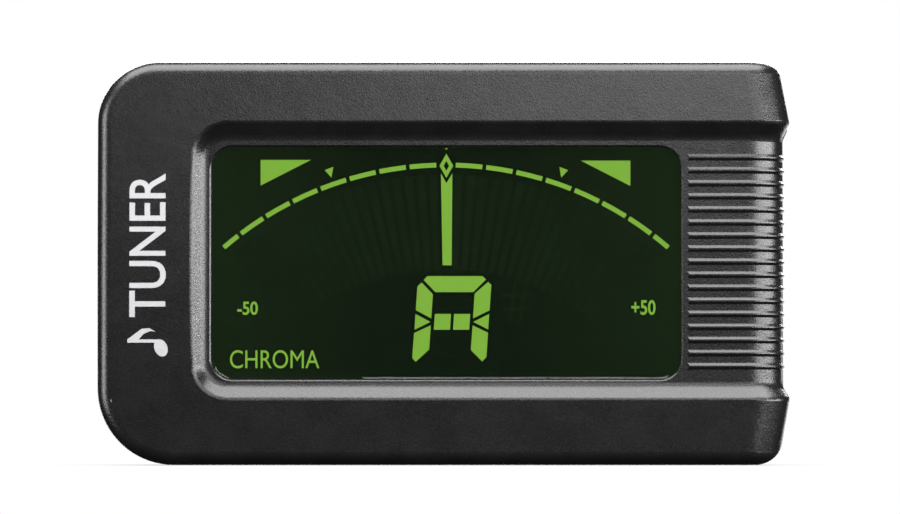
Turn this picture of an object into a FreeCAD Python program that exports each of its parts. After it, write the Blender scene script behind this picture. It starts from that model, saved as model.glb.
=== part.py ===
import FreeCAD, Part
import math
import os

# Clip-on tuner. Everything is modelled lying on its back and stood up on export:
#   x  along the length (jaw at the left, thumb grip at the right)
#   y  across the height of the display, +y is the edge with the buttons
#   z  out of the display; the housing's back plane is z = 0, the clip lever is below it
# All sizes are in millimetres.

V = FreeCAD.Vector
os.makedirs("parts", exist_ok=True)

# ---- overall sizes ----
LENGTH = 60.0
HEIGHT = 34.9
FRONT_Z = 12.5  # middle of the crowned front
RIDGE_Z = 12.22  # top of the ridges beside the display
EDGE_Z = 11.96  # the rails fall away to this at the outer edge
FLOOR_Z = 11.4  # sunk floor round the window
PARTING_Z = 6.0  # where the two covers meet
WALL = 1.5

# ---- shape of the front ----
CORNER_TOP = 5.3
CORNER_BOTTOM = 6.6
RIM_R = 1.2
HEEL_R = 2.6
END_R = 3.2
RAIL_W = {1: 5.28, -1: 5.75}  # upper and lower rail
SLOPE = {1: 1.3, -1: 1.1}  # run of the upper and lower slope
SLOPE_END = 0.76
FOOT_R = 1.0
FOOT_GAP = 0.6  # from the window to the foot of the left slope
GRIP_SET_BACK = 0.6
END_RAKE = 1.0
CREST_R = 0.5
RIBS = 17
RIB_PITCH = 1.13
RIB_Y = 0.12  # middle of the row
RIB_H = 0.17
RIB_SHAPE = ((-0.36, -0.05), (-0.06, RIB_H), (0.06, RIB_H), (0.36, -0.05))

# ---- window and display ----
WIN_W = 40.7
WIN_H = 20.2
WIN_X = 0.15
WIN_R = 1.9
LENS_GAP = 0.1  # round the lens in its window
LENS_TOP = 11.2
LENS_FLANGE = 1.5

# ---- battery ----
CELL_R = 10.0
CELL_H = 3.2
CELL_GAP = 0.1
TRAY_GAP = 0.1

# ---- clip ----
PIVOT_X = 9.0
PIVOT_Z = -4.6
PIN_R = 1.25
PIN_RUN = 0.04  # radial running clearance in the lever's cheeks
HUB_R = 3.2
STOP_GAP = 0.03  # between the lever's heel and the housing's stops when the jaw is shut
JAW_GAP = 5.0
PAD_T = 2.0
PAD_SINK = 0.4
LEVER_W = 18.0
LEVER_WALL = 1.6
LEVER_Z = -12.6
SPRING_WIRE = 1.0
SPRING_R = 2.3
SPRING_PITCH = 1.05

# ---- derived positions ----
LEFT = -LENGTH / 2
RIGHT = LENGTH / 2
EDGE_Y = HEIGHT / 2
RIDGE_Y = {side: side * (EDGE_Y - RAIL_W[side]) for side in (1, -1)}
FOOT_Y = {side: RIDGE_Y[side] - side * SLOPE[side] for side in (1, -1)}
IN_L = LEFT + WALL
IN_R = RIGHT - 3.0
IN_Y = EDGE_Y - WALL
ROOF_Z = 10.4
BOARD_LOW = 5.7
BOARD_TOP = 6.5
BACK_T = 1.35
SCREW_X = RIGHT - 5.4
SCREW_Y = EDGE_Y - 4.05
SCREWS = [(x, y) for x in (-SCREW_X, SCREW_X) for y in (-SCREW_Y, SCREW_Y)]
BUTTONS = {"power": 1.0, "mode": 10.0, "pitch": 19.0}
PAD_X0 = LEFT + 2.0
PAD_X1 = LEFT + 13.0
PAD_Y = 8.5
CELL_X = LEFT + 12.25
PAD_FACE = PAD_SINK - PAD_T - 0.2


def box(x0, x1, y0, y1, z0, z1):
    """Box between two opposite corners."""
    return Part.makeBox(x1 - x0, y1 - y0, z1 - z0, V(x0, y0, z0))


def post(x, y, z0, z1, r):
    """Round post or hole standing along z."""
    return Part.makeCylinder(r, z1 - z0, V(x, y, z0))


def axle(x, z, y0, y1, r):
    """Round bar or hole lying along y."""
    return Part.makeCylinder(r, y1 - y0, V(x, y0, z), V(0, 1, 0))


def join(shapes):
    """One solid from several that touch or overlap."""
    return shapes[0].fuse(shapes[1:]).removeSplitter()


def loop(corners, place):
    """Closed wire through corners (a, b, radius); place(a, b) puts each point in space."""
    points = [V(a, b, 0) for a, b, r in corners]
    spans = []
    for i, (a, b, r) in enumerate(corners):
        to_last = (points[i - 1] - points[i]).normalize()
        to_next = (points[(i + 1) % len(points)] - points[i]).normalize()
        if r == 0:
            spans.append((points[i], None, points[i]))
            continue
        half = to_last.getAngle(to_next) / 2
        middle = (to_last + to_next).normalize()
        run = r / math.tan(half)
        crown = points[i] + middle * (r / math.sin(half) - r)
        spans.append((points[i] + to_last * run, crown, points[i] + to_next * run))
    edges = []
    for i, (start, crown, end) in enumerate(spans):
        if crown:
            arc = [place(p.x, p.y) for p in (start, crown, end)]
            edges.append(Part.Arc(*arc).toShape())
        following = spans[(i + 1) % len(spans)][0]
        edges.append(Part.makeLine(place(end.x, end.y), place(following.x, following.y)))
    return Part.Wire(edges)


def slab(corners, z0, z1):
    """Prism standing on a plan outline."""
    wire = loop(corners, lambda a, b: V(a, b, z0))
    return Part.Face(wire).extrude(V(0, 0, z1 - z0))


def side_slab(corners, y0, y1):
    """Prism lying across the part, from an outline seen from the side."""
    wire = loop(corners, lambda a, b: V(a, y0, b))
    return Part.Face(wire).extrude(V(0, y1 - y0, 0))


def plate(x0, x1, y0, y1, z0, z1, r):
    """Rectangular plate with rounded corners."""
    return slab([(x0, y0, r), (x1, y0, r), (x1, y1, r), (x0, y1, r)], z0, z1)


def edges_where(shape, test):
    """Edges whose ends and middle all pass the test."""
    picked = []
    for edge in shape.Edges:
        first, last = edge.ParameterRange
        samples = [edge.valueAt(first + (last - first) * t) for t in (0, 0.25, 0.5, 0.75, 1)]
        if all(test(p) for p in samples):
            picked.append(edge)
    return picked


def inner_outline(grow):
    """Plan of the cavity, grown by a distance all round."""
    x0, x1, y1 = IN_L - grow, IN_R + grow, IN_Y + grow
    low_r = CORNER_BOTTOM - WALL + grow
    high_r = CORNER_TOP - WALL + grow
    return [(x0, -y1, low_r), (x1, -y1, 1.2 + grow), (x1, y1, 1.2 + grow), (x0, y1, high_r)]


def export(shape, name):
    """Stand the shape up on its long lower edge, centred on the origin, and write it."""
    upright = shape.copy()
    upright.rotate(V(0, 0, 0), V(1, 0, 0), 90)
    upright.translate(V(0, STAND_Y, EDGE_Y))
    upright.exportStep("parts/" + name + ".step")


# the deepest points of the lever's ribs and of the display ridges are level about the origin
STAND_Y = (FRONT_Z + LEVER_Z - 0.4) / 2


# ================= front cover =================
def swept_end(y0, x_end, top, shift):
    """Piece of the front cover from one y to the next: a rounded-end profile moved along shift."""
    start = RIGHT - 12.0
    corners = [(start, PARTING_Z - 4, 0), (x_end, PARTING_Z - 4, 0), (x_end, top, END_R), (start, top, 0)]
    wire = loop(corners, lambda a, b: V(a, y0, b))
    return Part.Face(wire).extrude(shift)


def front_solid():
    """Rails, ridges and the grip's rounded end, before any hollowing."""
    rake_x = RIGHT - END_RAKE
    grip_x = RIGHT - GRIP_SET_BACK
    pieces = [swept_end(FOOT_Y[-1], grip_x, FLOOR_Z, V(0, FOOT_Y[1] - FOOT_Y[-1], 0))]
    for side in (-1, 1):
        rail = V(END_RAKE, -side * RAIL_W[side], RIDGE_Z - EDGE_Z)
        slope = V(-GRIP_SET_BACK, -side * SLOPE[side], FLOOR_Z - RIDGE_Z)
        pieces.append(swept_end(side * EDGE_Y, rake_x, EDGE_Z, rail))
        pieces.append(swept_end(RIDGE_Y[side], RIGHT, RIDGE_Z, slope))
    x0 = LEFT - 1
    middle = V(x0, (RIDGE_Y[1] + RIDGE_Y[-1]) / 2, FRONT_Z)
    crown = Part.Arc(V(x0, RIDGE_Y[1], RIDGE_Z), middle, V(x0, RIDGE_Y[-1], RIDGE_Z))
    sides = [(RIDGE_Y[-1], RIDGE_Z), (-EDGE_Y, EDGE_Z), (-EDGE_Y, 0), (EDGE_Y, 0)]
    sides += [(EDGE_Y, EDGE_Z), (RIDGE_Y[1], RIDGE_Z)]
    wire = Part.Wire([crown.toShape()] + Part.makePolygon([V(x0, y, z) for y, z in sides]).Edges)
    rails = Part.Face(wire).extrude(V(RIGHT - 11.0 - x0, 0, 0))
    pocket_x = WIN_X - WIN_W / 2 - FOOT_GAP
    rise = RIDGE_Z - FLOOR_Z
    levels = []
    for step in (0.0, 1.8):
        x0 = pocket_x - SLOPE_END * step
        y0 = FOOT_Y[-1] - SLOPE[-1] * step
        y1 = FOOT_Y[1] + SLOPE[1] * step
        r = 1.9 + 1.0 * step
        x1 = RIGHT + 5
        z = FLOOR_Z + rise * step
        levels.append(loop([(x0, y0, r), (x1, y0, 0), (x1, y1, 0), (x0, y1, r)], lambda a, b: V(a, b, z)))
    pocket = Part.makeLoft(levels, True, True)
    body = join([rails.cut(pocket)] + pieces)
    x1 = RIGHT + 2
    plan = [(LEFT, -EDGE_Y, CORNER_BOTTOM), (x1, -EDGE_Y, 0), (x1, EDGE_Y, 0)]
    plan.append((LEFT, EDGE_Y, CORNER_TOP))
    return body.common(slab(plan, PARTING_Z, 20)).removeSplitter()


def on_rim(p):
    """True on the outer upper edge, its rounded ends and the upright right-hand corners."""
    if p.z < PARTING_Z + 0.01 and abs(p.y) < EDGE_Y - 0.01:
        return False
    on_side = abs(abs(p.y) - EDGE_Y) < 1e-3
    if on_side:
        return p.z > EDGE_Z - 1e-3 or p.x > RIGHT - END_RAKE - END_R - 1e-3
    return p.x < LEFT + CORNER_BOTTOM and p.z > EDGE_Z - 1e-3 and beyond_plan(p)


def beyond_plan(p):
    """True on the left-hand end of the plan outline."""
    r = CORNER_TOP if p.y > 0 else CORNER_BOTTOM
    if abs(p.y) < EDGE_Y - r:
        return abs(p.x - LEFT) < 1e-3
    gap = math.hypot(p.x - LEFT - r, abs(p.y) - EDGE_Y + r) - r
    return abs(gap) < 1e-3


front = front_solid()


def on_foot(p):
    """True where the slopes meet the sunk floor, and down the grip's end."""
    if p.x < WIN_X - WIN_W / 2 + 3:
        return abs(p.z - FLOOR_Z) < 1e-3
    beside = abs(p.y - FOOT_Y[1]) < 1e-3 or abs(p.y - FOOT_Y[-1]) < 1e-3
    return beside and p.z < FLOOR_Z + 1e-3


def crown_z(y):
    """Height of the crowned front over the middle."""
    middle = (RIDGE_Y[1] + RIDGE_Y[-1]) / 2
    half = (RIDGE_Y[1] - RIDGE_Y[-1]) / 2
    sag = FRONT_Z - RIDGE_Z
    r = (half * half + sag * sag) / (2 * sag)
    return FRONT_Z - r + math.sqrt(r * r - (y - middle) ** 2)


def on_crest(p):
    """True along the top of the slopes that run down to the sunk floor."""
    on_ridge = abs(p.y - RIDGE_Y[1]) < 1e-3 or abs(p.y - RIDGE_Y[-1]) < 1e-3
    if on_ridge and p.x > WIN_X - WIN_W / 2:
        return p.z > RIDGE_Z - 1e-3 or p.x > RIGHT - END_R - 1e-3
    inside = LEFT + 6 < p.x < WIN_X - WIN_W / 2 + 3 and RIDGE_Y[-1] - 1e-3 < p.y < RIDGE_Y[1] + 1e-3
    return inside and abs(p.z - crown_z(p.y)) < 1e-3


front = front.makeFillet(FOOT_R, edges_where(front, on_foot))
front = front.makeFillet(RIM_R, edges_where(front, on_rim))
front = front.makeFillet(CREST_R, edges_where(front, on_crest))

# the lower right corner is rounder than the upper one
heel = [(LEFT - 1, -EDGE_Y, 0), (RIGHT - END_RAKE, -EDGE_Y, HEEL_R), (RIGHT, RIDGE_Y[-1], 0)]
heel += [(RIGHT + 1, RIDGE_Y[-1], 0), (RIGHT + 1, EDGE_Y + 1, 0), (LEFT - 1, EDGE_Y + 1, 0)]
front = front.common(slab(heel, 0, 20))

# moulded inside: cavity, rebate for the rear cover's lip, coring under the thick rails
front = front.cut(slab(inner_outline(0), 0, ROOF_Z))
front = front.cut(slab(inner_outline(0.75), 0, PARTING_Z + 1.0))
core_x = SCREW_X - 5.5
for side in (-1, 1):
    y0, y1 = sorted((side * (IN_Y - 0.8), RIDGE_Y[side] + side * 0.9))
    front = front.cut(box(-core_x, core_x, y0, y1, ROOF_Z - 0.2, ROOF_Z + 0.4))

# window, with a fine chamfer at its outer edge
win_x0, win_x1 = WIN_X - WIN_W / 2, WIN_X + WIN_W / 2
front = front.cut(plate(win_x0, win_x1, -WIN_H / 2, WIN_H / 2, 9, 15, WIN_R))
front = front.makeChamfer(
    0.12,
    edges_where(
        front,
        lambda p: abs(p.z - FLOOR_Z) < 1e-3
        and win_x0 - 0.01 < p.x < win_x1 + 0.01
        and abs(p.y) < WIN_H / 2 + 0.01,
    ),
)

# screw bosses
for x, y in SCREWS:
    front = front.fuse(post(x, y, BOARD_TOP, ROOF_Z + 0.2, 1.9))
for x, y in SCREWS:
    front = front.cut(post(x, y, BOARD_TOP - 0.1, ROOF_Z + 0.8, 0.975))


def grip_rib(y):
    """One thin raised rib over the thumb grip and down its end."""
    x0 = RIGHT - 9.0
    x1 = RIGHT - GRIP_SET_BACK
    sections = []
    for offset, lift in RIB_SHAPE:
        top = FLOOR_Z + lift
        corners = [(x0 + lift, top, 0), (x1 + lift, top, END_R + lift)]
        corners += [(x1 + lift, PARTING_Z + 0.5, 0), (x1 - 0.8, PARTING_Z + 0.5, 0)]
        corners += [(x1 - 0.8, FLOOR_Z - 0.6, 1.2), (x0, FLOOR_Z - 0.6, 0)]
        sections.append(loop(corners, lambda a, b: V(a, y + offset, b)))
    return Part.makeLoft(sections, True, True)


ribs = [grip_rib(RIB_Y + (i - (RIBS - 1) / 2) * RIB_PITCH) for i in range(RIBS)]
front = front.fuse(ribs).removeSplitter()
export(front, "front_cover")


# ================= rear cover =================
rear_plan = [(LEFT, -EDGE_Y, CORNER_BOTTOM), (RIGHT - END_RAKE, -EDGE_Y, HEEL_R)]
rear_plan += [(RIGHT, RIDGE_Y[-1], 2.0), (RIGHT, RIDGE_Y[1], 2.0)]
rear_plan += [(RIGHT - END_RAKE, EDGE_Y, RIM_R), (LEFT, EDGE_Y, CORNER_TOP)]
rear = slab(rear_plan, 0, PARTING_Z)
rear = rear.makeFillet(RIM_R, edges_where(rear, lambda p: p.z < 1e-3))
dip_x = RIGHT - GRIP_SET_BACK + 0.2
dip = [(dip_x, FOOT_Y[-1], 0.6), (RIGHT + 2, RIDGE_Y[-1] - 4, 0), (RIGHT + 2, RIDGE_Y[1] + 4, 0)]
dip.append((dip_x, FOOT_Y[1], 0.6))
rear = rear.cut(slab(dip, -1, PARTING_Z + 1))
rear = rear.cut(slab(inner_outline(0), BACK_T, PARTING_Z + 1))

# lip that locates the front cover
lip = slab(inner_outline(0.7), PARTING_Z - 0.5, PARTING_Z + 0.9)
rear = rear.fuse(lip.cut(slab(inner_outline(0), 0, 10)))

# battery opening in the left wall and the rails that guide the tray
tray_y = CELL_R + 0.8
slot_y = tray_y + 2 * TRAY_GAP
rail_end = CELL_X + CELL_R + 1.5
for side in (-1, 1):
    y0, y1 = sorted((side * (tray_y + TRAY_GAP), side * (tray_y + 0.9)))
    rear = rear.fuse(box(IN_L - 0.5, rail_end, y0, y1, BACK_T - 0.2, 4.8))
# screw sleeves, with a counterbore for each head
for x, y in SCREWS:
    rear = rear.fuse([post(x, y, 1.0, 2.75, 2.45), post(x, y, 1.0, BOARD_LOW, 1.9)])
for x, y in SCREWS:
    rear = rear.cut(post(x, y, -1, 1.8, 1.95)).cut(post(x, y, 0, 8, 1.15))
rear = rear.cut(box(LEFT - 1, IN_L + 0.1, -slot_y, slot_y, BACK_T, 5.45))
rear = rear.fuse(box(rail_end, rail_end + 1.0, 4.0, tray_y + 0.9, BACK_T - 0.2, 4.0))
rear = rear.fuse(box(rail_end, rail_end + 1.0, -tray_y - 0.9, -4.0, BACK_T - 0.2, 4.0))

# pocket for the pickup disc and the groove for its two wires
pickup_x = CELL_X - 3.25
rear = rear.cut(post(pickup_x, 0, 0.85, 3, 6.2))
rear = rear.cut(box(pickup_x, rail_end + 4.2, -1.35, 1.35, 0.85, 3))

# openings for the buttons in the upper edge, in a shallow finger channel
button_x = sorted(BUTTONS.values())
channel = plate(button_x[0] - 5, button_x[-1] + 5, EDGE_Y - 0.4, EDGE_Y + 5, 2.6, PARTING_Z, 0)
rear = rear.cut(channel)
for x in button_x:
    rear = rear.cut(box(x - 3.5, x + 3.5, IN_Y - 0.9, EDGE_Y + 1, 3.1, PARTING_Z))

# seat for the jaw pad
seat = plate(PAD_X0, PAD_X1, -PAD_Y, PAD_Y, -1, PAD_SINK, 1.5)
rear = rear.cut(seat)

# hinge lugs
LUG_IN = LEVER_W / 2 + 0.2
LUG_OUT = LUG_IN + 2.2
lug_low = PIVOT_Z - PIN_R - 1.85
lug = [(PIVOT_X - 4.6, 0.6, 0), (PIVOT_X - 4.6, -0.2, 0.5), (PIVOT_X - 3.2, lug_low, 2.9)]
lug += [(PIVOT_X + 3.2, lug_low, 2.9), (PIVOT_X + 4.6, -0.2, 0.5), (PIVOT_X + 4.6, 0.6, 0)]
for side in (-1, 1):
    y0, y1 = sorted((side * LUG_IN, side * LUG_OUT))
    rear = rear.fuse(side_slab(lug, y0, y1))
rear = rear.cut(axle(PIVOT_X, PIVOT_Z, -30, 30, PIN_R))

# stops that the lever's heel rests on, so the empty jaw stays open by JAW_GAP
for side in (-1, 1):
    y0, y1 = sorted((side * (LEVER_W / 2 - LEVER_WALL), side * (LUG_IN + 0.1)))
    z0 = PIVOT_Z + HUB_R + STOP_GAP
    rear = rear.fuse(box(PIVOT_X - 3.4, PIVOT_X - 0.1, y0, y1, z0, 0.3))
rear = rear.removeSplitter()
export(rear, "rear_cover")


# ================= window and display stack =================
def lens():
    """Clear window: a flange behind the cover and a plateau that fills the opening."""
    x0, x1, y1 = win_x0 - LENS_FLANGE, win_x1 + LENS_FLANGE, WIN_H / 2 + LENS_FLANGE
    flange = plate(x0, x1, -y1, y1, 9.45, 10.25, 0.8)
    g = LENS_GAP
    top = plate(win_x0 + g, win_x1 - g, g - WIN_H / 2, WIN_H / 2 - g, 10.1, LENS_TOP, WIN_R - g)
    top = top.makeChamfer(0.15, edges_where(top, lambda p: p.z > LENS_TOP - 1e-3))
    return flange.fuse(top)


export(lens().removeSplitter(), "window_lens")

tape = plate(win_x0 - 1.4, win_x1 + 1.4, -WIN_H / 2 - 1.4, WIN_H / 2 + 1.4, 10.25, ROOF_Z, 0.8)
export(tape.cut(plate(win_x0, win_x1, -WIN_H / 2, WIN_H / 2, 9, 12, WIN_R)), "lens_tape")

# the liquid crystal cell: two glass plates between polarisers, with a contact ledge below
LCD_X0, LCD_X1 = win_x0 - 1.15, win_x1 + 1.15
LCD_Y0, LCD_Y1 = -WIN_H / 2 - 3.5, WIN_H / 2 + 1.4
layers = [box(LCD_X0 + 0.5, LCD_X1 - 0.5, LCD_Y0 + 2.4, LCD_Y1 - 0.5, 9.15, 9.3)]
layers.append(box(LCD_X0, LCD_X1, LCD_Y0, LCD_Y1, 8.6, 9.15))
layers.append(box(LCD_X0, LCD_X1, LCD_Y0 + 1.9, LCD_Y1, 8.1, 8.6))
layers.append(box(LCD_X0 + 0.5, LCD_X1 - 0.5, LCD_Y0 + 2.4, LCD_Y1 - 0.5, 7.95, 8.1))
export(join(layers), "lcd_panel")

GUIDE_X1 = LCD_X1 - 0.7
guide = box(LCD_X0, GUIDE_X1, LCD_Y0 + 2.0, LCD_Y1, 6.55, 7.9)
export(guide, "light_guide")

lamps = [box(GUIDE_X1 + 0.1, GUIDE_X1 + 1.5, y - 1.5, y + 1.5, BOARD_TOP, 7.6) for y in (-5, 5)]
export(Part.makeCompound(lamps), "backlight_leds")

rubber = box(WIN_X - 19, WIN_X + 19, LCD_Y0 + 0.3, LCD_Y0 + 1.6, BOARD_TOP, 8.6)
export(rubber, "contact_strip")

frame_out = plate(LCD_X0 - 1.5, LCD_X1 + 1.5, LCD_Y0 - 1.2, LCD_Y1 + 1.5, BOARD_TOP, 9.4, 0.8)
frame_in = box(LCD_X0 - 0.15, LCD_X1 + 0.15, LCD_Y0 - 0.15, LCD_Y1 + 0.15, 6, 10)
lcd_frame = frame_out.cut(frame_in)
for x, y in SCREWS:
    lcd_frame = lcd_frame.cut(post(x, y, 5, 11, 2.15))
for y in (-5, 5):
    lcd_frame = lcd_frame.cut(box(GUIDE_X1, GUIDE_X1 + 1.8, y - 1.8, y + 1.8, 6, 7.8))
export(lcd_frame.removeSplitter(), "lcd_frame")


# ================= main board =================
board = slab(inner_outline(-0.45), BOARD_LOW, BOARD_TOP)
for x, y in SCREWS:
    board = board.cut(post(x, y, 5, 8, 1.2))
export(board, "main_board")

# tuner chip with its legs, on the back of the board
chip_x, chip_y = PIVOT_X + 1.0, -3.0
chip = [box(chip_x - 3.5, chip_x + 3.5, chip_y - 3.5, chip_y + 3.5, 4.6, 5.55)]
for i in range(10):
    t = -2.7 + 0.6 * i
    for side in (-1, 1):
        a0, a1 = sorted((side * 3.4, side * 4.3))
        chip.append(box(chip_x + a0, chip_x + a1, chip_y + t - 0.12, chip_y + t + 0.12, 5.3, 5.7))
        chip.append(box(chip_x + t - 0.12, chip_x + t + 0.12, chip_y + a0, chip_y + a1, 5.3, 5.7))
export(join(chip), "tuner_chip")

# crystal can lying on the board
crystal_y = chip_y - 5.0
can = plate(PIVOT_X + 7.5, PIVOT_X + 15.5, crystal_y - 1.6, crystal_y + 1.6, 3.4, 5.7, 1.55)
export(can, "crystal")

# small resistors and capacitors in two rows
chips = []
for i in range(7):
    x = PIVOT_X - 5.5 + 2.6 * i
    chips.append(box(x, x + 1.6, -11.4, -10.6, 5.1, BOARD_LOW))
    chips.append(box(x + 0.4, x + 2.0, 5.2, 6.0, 5.1, BOARD_LOW))
export(Part.makeCompound(chips), "board_parts")

# side-acting switches under the board and the buttons that press them
SWITCH_Y = EDGE_Y - 3.25
for name, x in BUTTONS.items():
    body = box(x - 2.25, x + 2.25, SWITCH_Y - 3.4, SWITCH_Y, 3.3, BOARD_LOW)
    z = 4.45
    bore = Part.makeCylinder(0.8, 1.4, V(x, SWITCH_Y - 1.4, z), V(0, 1, 0))
    export(body.cut(bore), name + "_switch")
    rod_y = IN_Y - 0.85
    rod = Part.makeCylinder(0.72, rod_y - SWITCH_Y + 0.9, V(x, SWITCH_Y - 0.9, z), V(0, 1, 0))
    export(rod, name + "_plunger")
    cap = box(x - 3.35, x + 3.35, IN_Y - 0.02, EDGE_Y - 0.1, 3.25, 5.85)
    crown = edges_where(cap, lambda p: p.y > EDGE_Y - 0.11)
    cap = cap.makeFillet(0.35, crown)
    neck = box(x - 3.35, x + 3.35, IN_Y - 0.2, IN_Y + 0.2, 3.3, 5.6)
    flange = box(x - 3.95, x + 3.95, rod_y, IN_Y - 0.1, 3.3, 5.6)
    export(join([cap, neck, flange]), name + "_button")


# ================= battery tray =================
cell_z = 2.1
tray_x1 = CELL_X + CELL_R + 0.85
tray = box(IN_L + 0.15, tray_x1, -tray_y, tray_y, 1.45, 5.0)
tray = tray.cut(post(CELL_X, 0, 2.05, 6, CELL_R + CELL_GAP))
tray = tray.cut(post(CELL_X, 0, 1, 6, 6.0))
tray = tray.cut(box(CELL_X + 7, tray_x1 + 1, -3, 3, 2.05, 6))
face = plate(LEFT + 0.15, IN_L + 0.25, -tray_y - 0.1, tray_y + 0.1, 1.5, 5.3, 0)
face = face.makeFillet(0.3, edges_where(face, lambda p: p.x < LEFT + 0.16))
tray = join([tray, face])
nail = axle(LEFT - 0.1, 3.6, -3.5, 3.5, 0.75)
export(tray.cut(nail), "battery_tray")

cell = post(CELL_X, 0, cell_z, cell_z + CELL_H - 0.3, CELL_R)
can_rim = edges_where(cell, lambda p: p.z > cell_z + CELL_H - 0.31)
cell = cell.makeFillet(0.35, can_rim)
cap = post(CELL_X, 0, cell_z + CELL_H - 0.35, cell_z + CELL_H, CELL_R - 1.2)
export(join([cell, cap]), "coin_cell")

# spring contacts soldered to the board: one bears on the cell's side, one on its cap
tab_x = CELL_X + CELL_R + 0.15
positive = [box(tab_x, tab_x + 0.2, -2, 2, 3.0, BOARD_LOW)]
positive.append(box(tab_x, tab_x + 2.4, -2, 2, 5.5, BOARD_LOW))
export(join(positive), "positive_contact")
leaf_z = cell_z + CELL_H + 0.03
negative = [box(tab_x + 1.0, tab_x + 3.4, 4.5, 7.5, 5.55, BOARD_LOW)]
leaf = [(tab_x + 1.4, 5.7, 0), (tab_x + 1.4, 5.58, 0), (tab_x - 7.5, leaf_z, 0)]
leaf += [(tab_x - 8.3, leaf_z + 0.12, 0), (tab_x - 8.3, leaf_z + 0.27, 0)]
leaf.append((tab_x - 7.5, leaf_z + 0.15, 0))
negative.append(side_slab(leaf, 4.8, 7.2).common(box(-40, 40, -40, 40, 0, BOARD_LOW)))
export(join(negative), "negative_contact")


# ================= vibration pickup =================
export(post(pickup_x, 0, 0.85, 1.05, 6.0), "pickup_disc")
export(post(pickup_x, 0, 1.05, 1.22, 4.4), "pickup_ceramic")
for name, y in (("red", 0.8), ("black", -0.8)):
    x0 = pickup_x + 6.0
    x1 = rail_end + 1.2
    z0 = 1.12
    bend = Part.Arc(V(x1, y, z0), V(x1 + 1.4142, y, z0 + 0.5858), V(x1 + 2, y, z0 + 2))
    path = [Part.makeLine(V(x0, y, z0), V(x1, y, z0)), bend.toShape()]
    path.append(Part.makeLine(V(x1 + 2, y, z0 + 2), V(x1 + 2, y, BOARD_LOW)))
    ring = Part.Wire([Part.makeCircle(0.25, V(x0, y, z0), V(1, 0, 0))])
    wire = Part.Wire(path).makePipeShell([ring], True, True)
    export(wire, "pickup_wire_" + name)


# ================= cover screws =================
screws = []
for x, y in SCREWS:
    screw = post(x, y, 0.45, 1.8, 1.8).fuse(post(x, y, 1.7, ROOF_Z + 0.6, 0.95))
    screw = screw.makeFillet(0.3, edges_where(screw, lambda p: p.z < 0.46))
    for turn in (0, 90):
        slot = box(-1.0, 1.0, -0.2, 0.2, 0, 1.1)
        slot.rotate(V(0, 0, 0), V(0, 0, 1), turn)
        slot.translate(V(x, y, 0))
        screw = screw.cut(slot)
    screws.append(screw)
export(Part.makeCompound(screws), "cover_screws")


# ================= jaw pads, pin and spring =================
def jaw_pad(z_back, z_face):
    """Rubber pad with shallow grip grooves inside a plain border."""
    low, high = sorted((z_back, z_face))
    pad = plate(PAD_X0 + 0.05, PAD_X1 - 0.05, 0.05 - PAD_Y, PAD_Y - 0.05, low, high, 1.45)
    pad = pad.makeChamfer(0.25, edges_where(pad, lambda p: abs(p.z - z_face) < 1e-3))
    for i in range(4):
        x = (PAD_X0 + PAD_X1) / 2 - 3.3 + 2.2 * i
        deep = 0.35 if z_face > z_back else -0.35
        z0, z1 = sorted((z_face - deep, z_face + deep))
        pad = pad.cut(plate(x - 0.4, x + 0.4, 2.5 - PAD_Y, PAD_Y - 2.5, z0, z1, 0.35))
    return pad


PAD_BACK = PAD_FACE - JAW_GAP - PAD_T
export(jaw_pad(PAD_SINK, PAD_FACE), "housing_pad")
export(jaw_pad(PAD_BACK, PAD_FACE - JAW_GAP), "lever_pad")

pin = axle(PIVOT_X, PIVOT_Z, -LUG_OUT - 0.1, LUG_OUT + 0.1, PIN_R)
pin = pin.makeChamfer(0.25, edges_where(pin, lambda p: abs(p.y) > LUG_OUT))
export(pin, "hinge_pin")

# torsion spring: a close coil round the pin with one leg on the housing and one on the lever
START_DEG, END_DEG = 100.0, 255.0
turns = 6 + (END_DEG - START_DEG) / 360
coil_len = turns * SPRING_PITCH
helix = Part.makeHelix(SPRING_PITCH, coil_len, SPRING_R)
ring = Part.Wire([Part.makeCircle(SPRING_WIRE / 2, V(SPRING_R, 0, 0), V(0, 1, 0))])
coil = Part.Wire(helix.Edges).makePipeShell([ring], True, True)
coil.rotate(V(0, 0, 0), V(1, 0, 0), 90)
coil.rotate(V(0, 0, 0), V(0, 1, 0), -START_DEG)
coil.translate(V(PIVOT_X, coil_len / 2, PIVOT_Z))
spring = [coil]
for angle, lean, y, reach in ((START_DEG, 10, coil_len / 2, 10.0), (END_DEG, -15, -coil_len / 2, 10.6)):
    a = math.radians(angle)
    root = V(PIVOT_X + SPRING_R * math.cos(a), y, PIVOT_Z + SPRING_R * math.sin(a))
    way = V(math.cos(math.radians(lean)), 0, math.sin(math.radians(lean)))
    spring.append(Part.makeCylinder(SPRING_WIRE / 2, reach, root, way))
    spring.append(Part.makeSphere(SPRING_WIRE / 2, root))
export(join(spring), "torsion_spring")


# ================= clip lever =================
def curve(points):
    """Smooth edge through points."""
    line = Part.BSplineCurve()
    line.interpolate(points)
    return line.toShape()


def closed(edges):
    """Face from a curve and the straight edges that close it."""
    return Part.Face(Part.Wire(edges))


tip = LEFT + 0.4
tail = RIGHT - 0.4
seat_z = PAD_BACK
side = [(tip, seat_z, 0), (PAD_X1 + 0.6, seat_z, 0), (PAD_X1 + 1.0, seat_z + 0.6, 0.3)]
side += [(PIVOT_X - 6.4, -7.4, 3.0), (PIVOT_X - 2.9, PIVOT_Z + HUB_R, 0.7)]
side += [(PIVOT_X + 0.66, PIVOT_Z + HUB_R, HUB_R), (tail, -10.3, 0), (tail, LEVER_Z - 5, 0)]
side.append((tip, LEVER_Z - 5, 0))
lever = side_slab(side, -LEVER_W, LEVER_W)

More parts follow.
